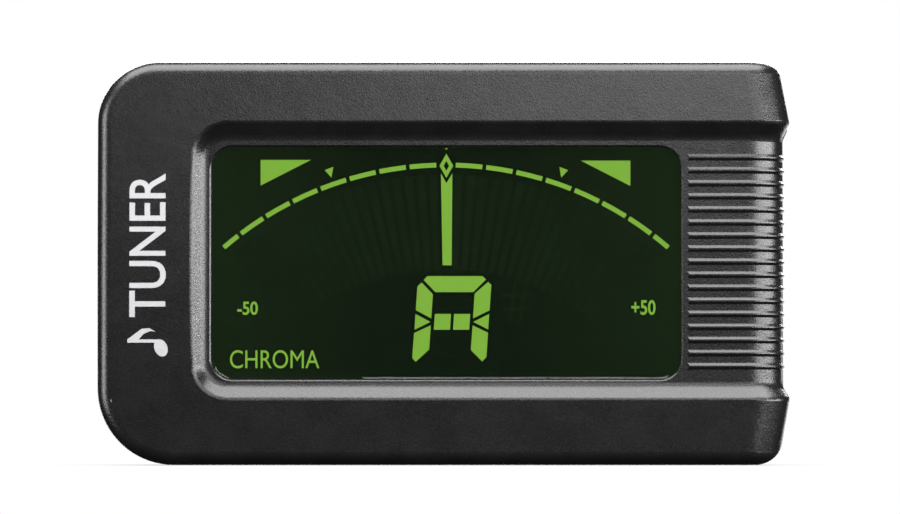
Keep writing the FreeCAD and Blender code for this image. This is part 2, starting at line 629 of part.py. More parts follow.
# the back is one smooth curve: bowed over the pivot and dished for the thumb
bow = [(tip - 1, LEVER_Z + 1.7), (tip + 12, LEVER_Z + 0.5), (0, LEVER_Z), (PIVOT_X + 3, LEVER_Z + 0.1)]
bow += [(RIGHT - 9.5, LEVER_Z + 0.6), (RIGHT - 4, LEVER_Z + 0.3), (RIGHT + 1, LEVER_Z - 0.5)]
knots = [V(x, -30, z) for x, z in bow]
ends = [V(RIGHT + 1, -30, -30), V(tip - 1, -30, -30)]
waste = closed([curve(knots), Part.makePolygon([knots[-1]] + ends + [knots[0]])])
lever = lever.cut(waste.extrude(V(0, 60, 0)))

# plan: parallel as far as the pivot, then flared for the thumb
half = LEVER_W / 2
flare = [(tip, half - 0.25), (tip + 8, half), (PIVOT_X, half), (PIVOT_X + 6.5, half + 0.05)]
flare += [(PIVOT_X + 12, half + 0.9), (tail - 3.5, half + 1.4), (tail, half + 1.2)]
for turn in (-1, 1):
    knots = [V(x, turn * y, -30) for x, y in flare]
    ends = [V(tail, turn * 30, -30), V(tip, turn * 30, -30)]
    waste = closed([curve(knots), Part.makePolygon([knots[-1]] + ends + [knots[0]])])
    lever = lever.cut(waste.extrude(V(0, 0, 60)))
lever = lever.makeFillet(3.0, edges_where(lever, lambda p: p.x < tip + 0.01 and abs(p.y) > half - 1))
lever = lever.makeFillet(2.4, edges_where(lever, lambda p: p.x > tail - 0.01 and abs(p.y) > half))
back = max((f for f in lever.Faces if f.CenterOfMass.z < LEVER_Z + 1), key=lambda f: f.Area)
lever = lever.makeFillet(1.2, back.OuterWire.Edges)
seat_rim = edges_where(lever, lambda p: abs(p.z - seat_z) < 1e-3 and p.x < PAD_X1 + 0.61)
seat_rim = [e for e in seat_rim if e.CenterOfMass.x < PAD_X1 + 0.5]
lever = lever.makeFillet(0.4, seat_rim)

# hollow between the cheeks, open towards the housing
hollow = half - LEVER_WALL
inside = [(PAD_X1 + 2.4, 0, 0), (PAD_X1 + 2.4, LEVER_Z + 2.4, 0.6), (RIGHT - 3.5, LEVER_Z + 2.4, 0.6)]
inside.append((RIGHT - 3.5, 0, 0))
lever = lever.cut(side_slab(inside, -hollow, hollow))
lever = lever.cut(axle(PIVOT_X, PIVOT_Z, -30, 30, PIN_R + PIN_RUN))


def tail_rib(y):
    """One thin raised rib on the back of the lever's thumb end."""
    x0 = RIGHT - 9.0
    sections = []
    for offset, lift in RIB_SHAPE:
        corners = [(x0 + lift, LEVER_Z + 0.5 - lift, 0), (tail + lift, LEVER_Z - 0.1 - lift, 1.1 + lift)]
        corners += [(tail + lift, LEVER_Z + 1.2, 0), (tail - 0.8, LEVER_Z + 1.2, 0), (x0, LEVER_Z + 1.2, 0)]
        sections.append(loop(corners, lambda a, b: V(a, y + offset, b)))
    return Part.makeLoft(sections, True, True)


tail_ribs = [tail_rib((i - 7) * RIB_PITCH) for i in range(15)]
lever = lever.fuse(tail_ribs).removeSplitter()
export(lever, "clip_lever")
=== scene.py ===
import math

import bmesh
import bpy
from mathutils import Matrix, Vector
from mathutils.bvhtree import BVHTree


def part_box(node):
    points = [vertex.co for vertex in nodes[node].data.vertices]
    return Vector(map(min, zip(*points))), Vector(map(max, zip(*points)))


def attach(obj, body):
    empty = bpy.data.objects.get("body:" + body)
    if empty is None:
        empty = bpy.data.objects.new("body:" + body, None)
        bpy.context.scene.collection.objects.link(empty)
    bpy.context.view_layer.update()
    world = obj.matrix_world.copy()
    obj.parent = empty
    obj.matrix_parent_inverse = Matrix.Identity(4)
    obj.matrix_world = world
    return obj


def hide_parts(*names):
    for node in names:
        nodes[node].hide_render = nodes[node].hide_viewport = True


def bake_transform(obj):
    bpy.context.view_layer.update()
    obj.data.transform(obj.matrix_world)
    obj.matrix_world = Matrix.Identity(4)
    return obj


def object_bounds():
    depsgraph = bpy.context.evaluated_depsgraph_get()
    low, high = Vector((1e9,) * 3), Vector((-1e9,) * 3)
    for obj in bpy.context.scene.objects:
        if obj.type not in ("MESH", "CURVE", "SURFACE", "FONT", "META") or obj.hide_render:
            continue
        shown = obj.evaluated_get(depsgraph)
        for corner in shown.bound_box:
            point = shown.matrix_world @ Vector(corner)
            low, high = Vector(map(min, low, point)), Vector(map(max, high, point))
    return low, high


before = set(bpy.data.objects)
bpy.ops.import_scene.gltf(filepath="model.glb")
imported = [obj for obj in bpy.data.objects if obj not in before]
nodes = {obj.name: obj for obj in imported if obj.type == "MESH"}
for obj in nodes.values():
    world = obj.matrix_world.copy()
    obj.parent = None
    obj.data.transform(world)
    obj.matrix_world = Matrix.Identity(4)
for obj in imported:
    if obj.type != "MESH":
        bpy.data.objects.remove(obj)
cad_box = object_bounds()

# ---- Studio camera ----
# A long lens a little below the middle of the tuner, looking almost square at the display,
# so both ends and the two long edges stay nearly parallel.
middle = (cad_box[0] + cad_box[1]) / 2
CAMERA_DISTANCE = 0.45
CAMERA_BELOW = math.radians(2.0)
lens_data = bpy.data.cameras.new("studio_camera")
lens_data.sensor_width = 36.0
lens_data.lens = 202.9
lens_data.shift_x = 0.0061
lens_data.shift_y = 0.0119
lens_data.clip_start = 0.02
lens_data.clip_end = 10.0
camera = bpy.data.objects.new("studio_camera", lens_data)
bpy.context.scene.collection.objects.link(camera)
towards_camera = Vector((0, -math.cos(CAMERA_BELOW), -math.sin(CAMERA_BELOW)))
camera.location = middle + towards_camera * CAMERA_DISTANCE
camera.rotation_mode = "QUATERNION"
camera.rotation_quaternion = (-towards_camera).to_track_quat("-Z", "Y")
bpy.context.scene.camera = camera
bpy.context.scene.view_settings.view_transform = "Standard"


# ---- Studio light ----
# Softboxes round a black moulding: a wide one overhead, a near one over the right end, an
# upright one at each side, and two dimmer ones behind for the clip. Each is given by its
# brightness, so its size can change freely.
def softbox(name, at, wide, tall, brightness):
    """Area light facing the middle of the tuner."""
    data = bpy.data.lights.new(name, "AREA")
    data.shape = "RECTANGLE"
    data.size, data.size_y = wide, tall
    data.energy = brightness * wide * tall * math.pi * 4
    light = bpy.data.objects.new(name, data)
    bpy.context.scene.collection.objects.link(light)
    light.location = at
    light.rotation_mode = "QUATERNION"
    light.rotation_quaternion = (middle - light.location).to_track_quat("-Z", "Y")
    light.visible_camera = False
    return light


def around(azimuth, elevation, reach):
    """Place at a bearing from the camera's side, positive to the right, and a height angle."""
    turn, rise = math.radians(azimuth), math.radians(elevation)
    flat = math.cos(rise) * reach
    return middle + Vector((math.sin(turn) * flat, -math.cos(turn) * flat, math.sin(rise) * reach))


softbox("overhead_box", around(8, 72, 0.36), 0.62, 0.40, 2.2)
softbox("right_end_box", around(15, 20, 0.20), 0.12, 0.075, 1.05)
softbox("right_box", around(61, 5, 0.34), 0.37, 0.075, 4.2)
softbox("left_box", around(-62, 3, 0.34), 0.15, 0.24, 2.2)
softbox("back_box", around(180, 24, 0.44), 0.42, 0.20, 2.4)
softbox("back_low_box", around(180, -8, 0.42), 0.56, 0.14, 0.6)

world = bpy.data.worlds.new("studio")
bpy.context.scene.world = world
world.use_nodes = True
tree = world.node_tree
tree.nodes.clear()
room = tree.nodes.new("ShaderNodeBackground")
room.inputs["Color"].default_value = (1, 1, 1, 1)
room.inputs["Strength"].default_value = 0.02
paper = tree.nodes.new("ShaderNodeBackground")
paper.inputs["Color"].default_value = (1, 1, 1, 1)
paper.inputs["Strength"].default_value = 1.0
seen = tree.nodes.new("ShaderNodeLightPath")
either = tree.nodes.new("ShaderNodeMixShader")
out = tree.nodes.new("ShaderNodeOutputWorld")
tree.links.new(seen.outputs["Is Camera Ray"], either.inputs[0])
tree.links.new(room.outputs[0], either.inputs[1])
tree.links.new(paper.outputs[0], either.inputs[2])
tree.links.new(either.outputs[0], out.inputs["Surface"])


# ---- Studio floor ----
# White paper under the tuner, glowing evenly by itself. A contact shadow is painted into its glow
# where the tuner stands close above it, and it is kept out of the reflections, so the black plastic
# stays black along its lower edge.
def new_object(name, bm, *, smooth=None):
    """Object from a finished bmesh; faces meeting below the smooth angle are shaded round."""
    mesh = bpy.data.meshes.new(name)
    bm.to_mesh(mesh)
    bm.free()
    if smooth is not None:
        mesh.shade_smooth()
        mesh.set_sharp_from_angle(angle=math.radians(smooth))
    obj = bpy.data.objects.new(name, mesh)
    bpy.context.scene.collection.objects.link(obj)
    return obj


bm = bmesh.new()
bmesh.ops.create_grid(bm, x_segments=1, y_segments=1, size=1.5)
bmesh.ops.translate(bm, verts=bm.verts, vec=(0, 0, -0.00002))
floor = new_object("studio_floor", bm)
floor_paint = bpy.data.materials.new("studio_paper_painted_shadow")
floor_paint.use_nodes = True
tree = floor_paint.node_tree
tree.nodes.clear()
# painted contact shadow: ambient occlusion dims the floor's glow under and round the tuner
near = tree.nodes.new("ShaderNodeAmbientOcclusion")
near.samples = 8
near.inputs["Distance"].default_value = 0.02
shade = tree.nodes.new("ShaderNodeMapRange")
shade.inputs["From Min"].default_value = 0.0
shade.inputs["From Max"].default_value = 0.75
shade.inputs["To Min"].default_value = 0.35
shade.inputs["To Max"].default_value = 1.0
glow = tree.nodes.new("ShaderNodeEmission")
out = tree.nodes.new("ShaderNodeOutputMaterial")
tree.links.new(near.outputs["AO"], shade.inputs["Value"])
tree.links.new(shade.outputs["Result"], glow.inputs["Strength"])
tree.links.new(glow.outputs[0], out.inputs["Surface"])
floor.data.materials.append(floor_paint)
floor.visible_glossy = False
floor.visible_diffuse = False
floor.visible_transmission = False
floor.visible_shadow = False


# ---- Housing covers ----
# Front and rear covers are injection moulded in black plastic with a fine spark-eroded
# grain. The parting line runs round the edge and four screws hold them from behind.
def new_finish(name):
    """Empty node material: its tree, its Principled shader and the object coordinates."""
    made = bpy.data.materials.new(name)
    made.use_nodes = True
    tree = made.node_tree
    shader = tree.nodes["Principled BSDF"]
    place = tree.nodes.new("ShaderNodeTexCoord")
    return made, tree, shader, place.outputs["Object"]


def noise(tree, place, size, detail=2.0, rough=0.5):
    """Noise with features about size metres across."""
    n = tree.nodes.new("ShaderNodeTexNoise")
    n.inputs["Scale"].default_value = 1 / size
    n.inputs["Detail"].default_value = detail
    n.inputs["Roughness"].default_value = rough
    tree.links.new(place, n.inputs["Vector"])
    return n.outputs["Fac"]


def ranged(tree, value, low, high, to_low, to_high):
    """Value mapped from low..high to to_low..to_high."""
    m = tree.nodes.new("ShaderNodeMapRange")
    ends = {"From Min": low, "From Max": high, "To Min": to_low, "To Max": to_high}
    for socket, number in ends.items():
        m.inputs[socket].default_value = number
    tree.links.new(value, m.inputs["Value"])
    return m.outputs["Result"]


def tinted(tree, value, dark, light):
    """Colour that runs from dark to light as value goes from 0 to 1."""
    m = tree.nodes.new("ShaderNodeMix")
    m.data_type = "RGBA"
    m.inputs["A"].default_value = (*dark, 1)
    m.inputs["B"].default_value = (*light, 1)
    tree.links.new(value, m.inputs["Factor"])
    return m.outputs["Result"]


def coloured(tree, shader, value, dark, light):
    """Base colour that runs from dark to light with value."""
    tree.links.new(tinted(tree, value, dark, light), shader.inputs["Base Color"])


def roughened(tree, shader, value, smooth, dull):
    """Roughness from smooth to dull over the middle of a noise value."""
    tree.links.new(ranged(tree, value, 0.3, 0.7, smooth, dull), shader.inputs["Roughness"])


def bumped(tree, height, depth, under=None):
    """Normal of a surface whose height runs over depth metres."""
    b = tree.nodes.new("ShaderNodeBump")
    b.inputs["Distance"].default_value = depth
    b.inputs["Strength"].default_value = 1.0
    tree.links.new(height, b.inputs["Height"])
    if under is not None:
        tree.links.new(under, b.inputs["Normal"])
    return b.outputs["Normal"]


def moulded(name, dark, light, rough, grain, depth):
    """Moulded plastic with an eroded grain: fine pits over a slower unevenness."""
    made, tree, shader, place = new_finish(name)
    fine = noise(tree, place, grain, 4.0, 0.62)
    slow = noise(tree, place, grain * 14, 2.0)
    clouds = ranged(tree, slow, 0.35, 0.65, 0, 1)
    coloured(tree, shader, clouds, dark, light)
    roughened(tree, shader, fine, rough - 0.06, rough + 0.06)
    swell = bumped(tree, slow, depth * 1.5)
    tree.links.new(bumped(tree, fine, depth, swell), shader.inputs["Normal"])
    shader.inputs["IOR"].default_value = 1.5
    return made


def paint(finish, *names):
    """The finish goes on these CAD nodes."""
    for name in names:
        for slot in nodes[name].material_slots:
            slot.material = finish


housing_black = moulded(
    "grained_black", (0.0060, 0.0060, 0.0064), (0.0080, 0.0080, 0.0084), 0.27, 0.00016, 0.000019
)
paint(housing_black, "front_cover", "rear_cover")

# ---- Window ----
# A clear acrylic lens behind the front cover; its raised centre fills the opening and a
# black adhesive tape seals the flange.
window_clear, tree, shader, place = new_finish("clear_acrylic")
shader.inputs["Base Color"].default_value = (0.98, 0.99, 0.98, 1)
shader.inputs["Transmission Weight"].default_value = 1.0
shader.inputs["IOR"].default_value = 1.49
roughened(tree, shader, noise(tree, place, 0.004), 0.0, 0.03)
paint(window_clear, "window_lens")

tape_black, tree, shader, place = new_finish("black_tape")
weave = noise(tree, place, 0.0002)
coloured(tree, shader, weave, (0.006, 0.006, 0.006), (0.012, 0.012, 0.012))
shader.inputs["Roughness"].default_value = 0.7
paint(tape_black, "lens_tape")

# ---- Liquid crystal display ----
# A backlit negative display: two glass plates whose unlit field is almost black green and
# whose driven segments let the green backlight through.
glass_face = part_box("lcd_panel")[0].y
centre_z = middle.z
mm = 0.001

lcd_glass, tree, shader, place = new_finish("display_glass")
tree.links.new(
    tinted(tree, noise(tree, place, 0.003), (0.004, 0.008, 0.004), (0.006, 0.011, 0.005)),
    shader.inputs["Base Color"],
)
shader.inputs["Roughness"].default_value = 0.25
paint(lcd_glass, "lcd_panel")


def prism(bm, outline, y_back, y_front):
    """Closed flat shape facing the viewer, from (x, z) corners in millimetres about the middle."""
    verts = [bm.verts.new((x * mm, y_back, centre_z + z * mm)) for x, z in outline]
    face = bm.faces.new(verts)
    grown = bmesh.ops.extrude_face_region(bm, geom=[face])
    moved = [v for v in grown["geom"] if isinstance(v, bmesh.types.BMVert)]
    bmesh.ops.translate(bm, verts=moved, vec=(0, y_front - y_back, 0))


def finished(name, bm, finish):
    """Piece of the display or the printing: normals out, finish on, riding on the housing."""
    bmesh.ops.recalc_face_normals(bm, faces=bm.faces)
    obj = new_object(name, bm)
    obj.data.materials.append(finish)
    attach(obj, "housing")
    return obj


def lit_from_behind(tree, shader, pattern, dim, bright, base):
    """Matt film that glows from dim to bright by its pattern."""
    tree.links.new(tinted(tree, pattern, dim, bright), shader.inputs["Emission Color"])
    shader.inputs["Emission Strength"].default_value = 1.0
    shader.inputs["Base Color"].default_value = (*base, 1)
    shader.inputs["Specular IOR Level"].default_value = 0.0
    shader.inputs["Roughness"].default_value = 0.6


FIELD_BASE, SEGMENT_BASE = (0.002, 0.004, 0.002), (0.01, 0.02, 0.005)
FIELD_FRONT = glass_face - 0.02 * mm
IDLE_FRONT = glass_face - 0.03 * mm

# the dark field: brighter at the sides, where the backlight leaks round its edges
field_glow, tree, shader, place = new_finish("dark_field")
split = tree.nodes.new("ShaderNodeSeparateXYZ")
tree.links.new(place, split.inputs[0])
off = tree.nodes.new("ShaderNodeMath")
off.operation = "ABSOLUTE"
tree.links.new(split.outputs["X"], off.inputs[0])
side = ranged(tree, off.outputs[0], 0.006, 0.021, 0, 1)
height = ranged(tree, split.outputs["Z"], 0.006, 0.03, 0, 0.25)
both = tree.nodes.new("ShaderNodeMath")
both.operation = "ADD"
tree.links.new(side, both.inputs[0])
tree.links.new(height, both.inputs[1])
speck = tree.nodes.new("ShaderNodeMath")
speck.operation = "MULTIPLY_ADD"
tree.links.new(noise(tree, place, 0.0006, 3.0, 0.6), speck.inputs[0])
speck.inputs[1].default_value = 0.5
tree.links.new(both.outputs[0], speck.inputs[2])
shown = ranged(tree, speck.outputs[0], 0.1, 1.4, 0, 1)
DIM_FIELD, BRIGHT_FIELD = (0.0024, 0.0055, 0.0022), (0.0078, 0.0162, 0.0053)
lit_from_behind(tree, shader, shown, DIM_FIELD, BRIGHT_FIELD, FIELD_BASE)
bm = bmesh.new()
field = [(-21.0, -10.9), (21.3, -10.9), (21.3, 10.9), (-21.0, 10.9)]
prism(bm, field, glass_face, FIELD_FRONT)
finished("display_field", bm, field_glow)

# undriven segments, just visible against the field: the fan of needles and the sharp sign
ghost_glow, tree, shader, place = new_finish("undriven_segment")
patches = noise(tree, place, 0.002)
DIM_IDLE, BRIGHT_IDLE = (0.0048, 0.0100, 0.0036), (0.0074, 0.0150, 0.0052)
lit_from_behind(tree, shader, patches, DIM_IDLE, BRIGHT_IDLE, FIELD_BASE)
ARC_X, ARC_Z, ARC_R = 0.13, -20.93, 29.5
NEEDLE_STEP, NEEDLE_FOOT, NEEDLE_HEAD = 2.2, 20.4, 28.7
FOOT_HALF, HEAD_HALF = 0.26, 0.38
bm = bmesh.new()
for step in range(-18, 19):
    if step == 0:
        continue
    turn = math.radians(NEEDLE_STEP * step)
    lean = Vector((math.sin(turn), math.cos(turn)))
    across = Vector((lean.y, -lean.x))
    foot = Vector((ARC_X, ARC_Z)) + lean * NEEDLE_FOOT
    head = Vector((ARC_X, ARC_Z)) + lean * NEEDLE_HEAD
    corners = [foot - across * FOOT_HALF, foot + across * FOOT_HALF]
    corners += [head + across * HEAD_HALF, head - across * HEAD_HALF]
    prism(bm, [tuple(c) for c in corners], FIELD_FRONT, IDLE_FRONT)
finished("display_idle_needles", bm, ghost_glow)

bm = bmesh.new()
for x in (5.75, 6.65):
    upright = [(x - 0.30, -5.2), (x, -5.2), (x + 0.55, -1.7), (x + 0.25, -1.7)]
    prism(bm, upright, FIELD_FRONT, IDLE_FRONT)
for z in (-2.75, -3.95):
    crossbar = [(5.0, z - 0.16), (7.7, z - 0.16), (7.7, z + 0.16), (5.0, z + 0.16)]
    prism(bm, crossbar, glass_face - 0.031 * mm, glass_face - 0.036 * mm)
finished("display_idle_sharp", bm, ghost_glow)

# driven segments
lit_glow, tree, shader, place = new_finish("driven_segment")
patches = noise(tree, place, 0.004)
DIM_GREEN, BRIGHT_GREEN = (0.205, 0.440, 0.046), (0.228, 0.462, 0.053)
lit_from_behind(tree, shader, patches, DIM_GREEN, BRIGHT_GREEN, SEGMENT_BASE)
FACE, PROUD = glass_face - 0.04 * mm, glass_face - 0.06 * mm

# the scale: an arc of sixteen dashes with a gap for the diamond
FIRST_DASH, DASH_PITCH, DASH_LONG, ARC_END, DASH_HALF = 1.64, 5.15, 4.5, 40.8, 0.205
bm = bmesh.new()
for side in (-1, 1):
    for dash in range(8):
        first = FIRST_DASH + DASH_PITCH * dash
        last = min(first + DASH_LONG, ARC_END)
        rim = []
        for radius, order in ((ARC_R + DASH_HALF, (0, 1, 2)), (ARC_R - DASH_HALF, (2, 1, 0))):
            for k in order:
                a = math.radians(first + (last - first) * k / 2) * side
                rim.append((ARC_X + radius * math.sin(a), ARC_Z + radius * math.cos(a)))
        prism(bm, rim, FACE, PROUD)
finished("display_scale", bm, lit_glow)

# the diamond on the middle of the scale, open in the middle, and the needle under it
bm = bmesh.new()
rings = []
for half_wide, half_tall in ((0.595, 1.055), (0.235, 0.436)):
    corners = ((0, half_tall), (half_wide, 0), (0, -half_tall), (-half_wide, 0))
    places = [((0.16 + x) * mm, FACE, centre_z + (8.5 + z) * mm) for x, z in corners]
    rings.append([bm.verts.new(at) for at in places])
outer, inner = rings
ring = [bm.faces.new((outer[i], outer[i - 3], inner[i - 3], inner[i])) for i in range(4)]
grown = bmesh.ops.extrude_face_region(bm, geom=ring)
moved = [v for v in grown["geom"] if isinstance(v, bmesh.types.BMVert)]
bmesh.ops.translate(bm, verts=moved, vec=(0, PROUD - FACE, 0))
prism(bm, [(-0.31, 7.84), (0.16, 7.0), (0.68, 7.84), (0.62, -0.14), (-0.17, -0.14)], FACE, PROUD)
finished("display_needle", bm, lit_glow)

# the note letter, built of nine segments
LETTER = (
    ((-1.80, -1.42), (-1.49, -1.08), (3.30, -1.08), (3.60, -1.38), (2.49, -2.47), (-0.80, -2.47)),
    ((-1.98, -1.63), (-1.01, -2.65), (-1.15, -4.75), (-2.49, -4.03), (-2.35, -1.98)),
    ((3.77, -1.59), (4.06, -1.82), (3.91, -4.05), (2.47, -4.75), (2.61, -2.61)),
    ((-2.52, -4.36), (-1.22, -5.05), (-2.60, -5.73)),
    ((3.88, -4.36), (2.49, -5.05), (3.79, -5.71)),
    ((-0.83, -4.36), (0.56, -4.36), (0.48, -5.73), (-0.93, -5.73)),
    ((0.83, -4.36), (2.23, -4.36), (2.14, -5.73), (0.74, -5.73)),
    ((-1.19, -5.35), (-1.33, -7.45), (-2.49, -8.51), (-2.80, -8.20), (-2.64, -6.02)),
    ((2.44, -5.35), (3.77, -5.99), (3.63, -8.10), (3.26, -8.48), (2.28, -7.49)),
)
bm = bmesh.new()
for segment in LETTER:
    prism(bm, segment, FACE, PROUD)
finished("display_note", bm, lit_glow)

# flat and sharp arrows: a large one at each end and a small pointer over the scale
bm = bmesh.new()
prism(bm, [(-15.96, 9.01), (-11.59, 9.01), (-15.96, 6.78)], FACE, PROUD)
prism(bm, [(11.83, 8.95), (16.13, 8.95), (16.13, 6.75)], FACE, PROUD)
prism(bm, [(-10.41, 8.12), (-9.65, 8.41), (-9.81, 7.48)], FACE, PROUD)
prism(bm, [(10.73, 8.12), (9.97, 8.41), (10.13, 7.48)], FACE, PROUD)
finished("display_arrows", bm, lit_glow)


# numbers and the mode word
def lettering(name, words, weight, left, right, low_z, high_z, deep):
    """Mesh of plain sans lettering that fills a box on the front, deep metres thick."""
    text = bpy.data.curves.new(name, "FONT")
    text.body = words
    text.size = 1.0
    text.offset = weight
    text.extrude = 0.5
    text.resolution_u = 6
    holder = bpy.data.objects.new(name, text)
    bpy.context.scene.collection.objects.link(holder)
    bpy.context.view_layer.update()
    mesh = bpy.data.meshes.new_from_object(holder)
    bpy.data.objects.remove(holder)
    bm = bmesh.new()
    bm.from_mesh(mesh)
    bpy.data.meshes.remove(mesh)
    bmesh.ops.remove_doubles(bm, verts=bm.verts, dist=1e-5)
    xs = [v.co.x for v in bm.verts]
    ys = [v.co.y for v in bm.verts]
    wide, tall = max(xs) - min(xs), max(ys) - min(ys)
    bmesh.ops.translate(bm, verts=bm.verts, vec=(-min(xs), -min(ys), 0))
    bmesh.ops.scale(bm, verts=bm.verts, vec=((right - left) / wide, (high_z - low_z) / tall, deep))
    bmesh.ops.rotate(bm, verts=bm.verts, matrix=Matrix.Rotation(math.pi / 2, 3, "X"))
    bmesh.ops.translate(bm, verts=bm.verts, vec=(left, 0, low_z))
    return bm


for name, words, weight, x0, x1, z0, z1 in (
    ("display_minus_fifty", "-50", 0.02, -17.97, -16.18, -4.45, -3.28),
    ("display_plus_fifty", "+50", 0.02, 16.2, 18.3, -4.45, -3.15),
    ("display_mode_word", "CHROMA", 0.0, -18.6, -10.85, -9.08, -7.5),
):
    foot, head = centre_z + z0 * mm, centre_z + z1 * mm
    bm = lettering(name, words, weight, x0 * mm, x1 * mm, foot, head, 0.02 * mm)
    bmesh.ops.translate(bm, verts=bm.verts, vec=(0, (FACE + PROUD) / 2, 0))
    finished(name, bm, lit_glow)

# ---- Printing on the rail ----
# A plain word and a music note, pad printed in silver white on the rail beside the display.
# The ink lies on the grain, a few hundredths of a millimetre thick.
print_white, tree, shader, place = new_finish("silver_white_ink")
patchy = noise(tree, place, 0.0005, 3.0, 0.6)
coloured(tree, shader, patchy, (0.33, 0.33, 0.34), (0.40, 0.40, 0.41))
tree.links.new(bumped(tree, noise(tree, place, 0.00025, 3.0), 0.000008), shader.inputs["Normal"])
shader.inputs["Roughness"].default_value = 0.45
PRINT_X, INK_FRONT, INK_BACK = -25.6 * mm, 0.02 * mm, 0.03 * mm
cover_skin = BVHTree.FromObject(nodes["front_cover"], bpy.context.evaluated_depsgraph_get())


def laid_on_cover(bm):
    """Drops a flat shape, 1 mm thick about y = 0, onto the cover; its back sinks slightly in."""
    for v in bm.verts:
        hit = cover_skin.ray_cast(Vector((v.co.x, -0.05, v.co.z)), Vector((0, 1, 0)))[0]
        v.co.y = hit.y - INK_FRONT if v.co.y < 0 else hit.y + INK_BACK


bm = lettering("word", "TUNER", 0.01, -6.2 * mm, 6.2 * mm, -1.575 * mm, 1.575 * mm, mm)
bmesh.ops.rotate(bm, verts=bm.verts, matrix=Matrix.Rotation(-math.pi / 2, 3, "Y"))
bmesh.ops.translate(bm, verts=bm.verts, vec=(PRINT_X, 0, centre_z + 1.5 * mm))
laid_on_cover(bm)
finished("rail_word", bm, print_white)

bm = bmesh.new()
note = bmesh.ops.create_circle(bm, cap_ends=True, segments=32, radius=0.62 * mm)
bmesh.ops.scale(bm, verts=note["verts"], vec=(1.25, 0.9, 1))
bmesh.ops.rotate(bm, verts=note["verts"], matrix=Matrix.Rotation(math.radians(22), 3, "Z"))
bmesh.ops.translate(bm, verts=note["verts"], vec=(-0.45 * mm, -1.15 * mm, 0))
STEM = ((0.0, -1.1), (0.28, -1.1), (0.28, 0.75))
FLAG = ((0.75, 0.35), (1.0, -0.25), (0.95, -0.7), (1.25, -0.15), (1.2, 0.5), (0.75, 1.1))
TOP = ((0.28, 1.75), (0.0, 1.75))
bm.faces.new([bm.verts.new((x * mm, z * mm, 0)) for x, z in STEM + FLAG + TOP])
bmesh.ops.recalc_face_normals(bm, faces=bm.faces)
solid = bmesh.ops.extrude_face_region(bm, geom=bm.faces[:])
raised = [v for v in solid["geom"] if isinstance(v, bmesh.types.BMVert)]
bmesh.ops.translate(bm, verts=raised, vec=(0, 0, mm))
bmesh.ops.translate(bm, verts=bm.verts, vec=(0, 0, -0.5 * mm))
bmesh.ops.rotate(bm, verts=bm.verts, matrix=Matrix.Rotation(math.pi / 2, 3, "X"))
bmesh.ops.rotate(bm, verts=bm.verts, matrix=Matrix.Rotation(-math.pi / 2, 3, "Y"))
bmesh.ops.translate(bm, verts=bm.verts, vec=(PRINT_X, 0, centre_z - 6.9 * mm))
laid_on_cover(bm)
finished("rail_note", bm, print_white)

# ---- Buttons ----
# Three keys in the upper edge, moulded in the same black but with a smoother satin skin.
# Each drops over its plunger from inside and is held by the two covers.
button_black = moulded(
    "satin_black", (0.014, 0.014, 0.015), (0.018, 0.018, 0.019), 0.36, 0.0004, 0.000006
)
paint(button_black, "power_button", "mode_button", "pitch_button")

# ---- Battery drawer ----
# A tray moulded in the housing's black that slides in from the left end. The coin cell
# drops into it; its can is bright stamped steel, finely brushed.
paint(housing_black, "battery_tray")
cell_steel, tree, shader, place = new_finish("cell_steel")
brushed = noise(tree, place, 0.0003, 4.0, 0.6)
coloured(tree, shader, brushed, (0.55, 0.55, 0.54), (0.68, 0.68, 0.67))
shader.inputs["Metallic"].default_value = 1.0
roughened(tree, shader, brushed, 0.22, 0.36)
paint(cell_steel, "coin_cell")

# ---- Clip lever ----
# The rear jaw and its thumb tail are one black moulding. It turns on a bright drawn steel
# pin that runs through both of its cheeks.
paint(housing_black, "clip_lever")
pin_steel, tree, shader, place = new_finish("bright_steel")
drawn = noise(tree, place, 0.0004, 3.0)
coloured(tree, shader, drawn, (0.50, 0.50, 0.50), (0.62, 0.62, 0.63))
shader.inputs["Metallic"].default_value = 1.0
roughened(tree, shader, drawn, 0.22, 0.34)
paint(pin_steel, "hinge_pin")

# ---- Torsion spring ----
# Music wire wound six and a half turns round the hinge pin. One straight leg bears on the
# housing and the other on the lever, and it winds up as the jaw opens.
spring_steel, tree, shader, place = new_finish("spring_wire")
die_marks = noise(tree, place, 0.0003, 3.0, 0.6)
coloured(tree, shader, die_marks, (0.42, 0.42, 0.42), (0.58, 0.58, 0.59))
shader.inputs["Metallic"].default_value = 1.0
roughened(tree, shader, die_marks, 0.18, 0.32)
pin_low, pin_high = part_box("hinge_pin")
AXIS_X, AXIS_Y = (pin_low.x + pin_high.x) / 2, (pin_low.y + pin_high.y) / 2
WIRE_R, COIL_R, PITCH = 0.5 * mm, 2.3 * mm, 1.05 * mm
COIL_TOP, FIRST_TURN, LAST_TURN = 20.83 * mm, 100.0, 255.0
SPRING_TURNS = 6 + (LAST_TURN - FIRST_TURN) / 360
HOUSING_LEG, LEVER_LEG = (10.0 * mm, 10.0), (10.6 * mm, -15.0)


def on_coil(turn):
    """Outward direction from the pin at this turn, in degrees."""
    return Vector((math.cos(math.radians(turn)), -math.sin(math.radians(turn)), 0))


bm = bmesh.new()
made = bmesh.ops.create_circle(bm, segments=16, radius=WIRE_R)
bmesh.ops.rotate(bm, verts=made["verts"], matrix=Matrix.Rotation(math.pi / 2, 3, "X"))
bmesh.ops.rotate(bm, verts=made["verts"], matrix=Matrix.Rotation(-math.radians(FIRST_TURN), 3, "Z"))
centre = Vector((AXIS_X, AXIS_Y, COIL_TOP)) + on_coil(FIRST_TURN) * COIL_R
bmesh.ops.translate(bm, verts=made["verts"], vec=centre)
first_ring = list({e for v in made["verts"] for e in v.link_edges})
steps = int(SPRING_TURNS * 36)
wound = bmesh.ops.spin(
    bm,
    geom=first_ring,
    cent=(AXIS_X, AXIS_Y, 0),
    axis=(0, 0, 1),
    dvec=(0, 0, -PITCH * SPRING_TURNS / steps),
    angle=-math.radians(360 * SPRING_TURNS),
    steps=steps,
    use_merge=False,
    use_duplicate=False,
)
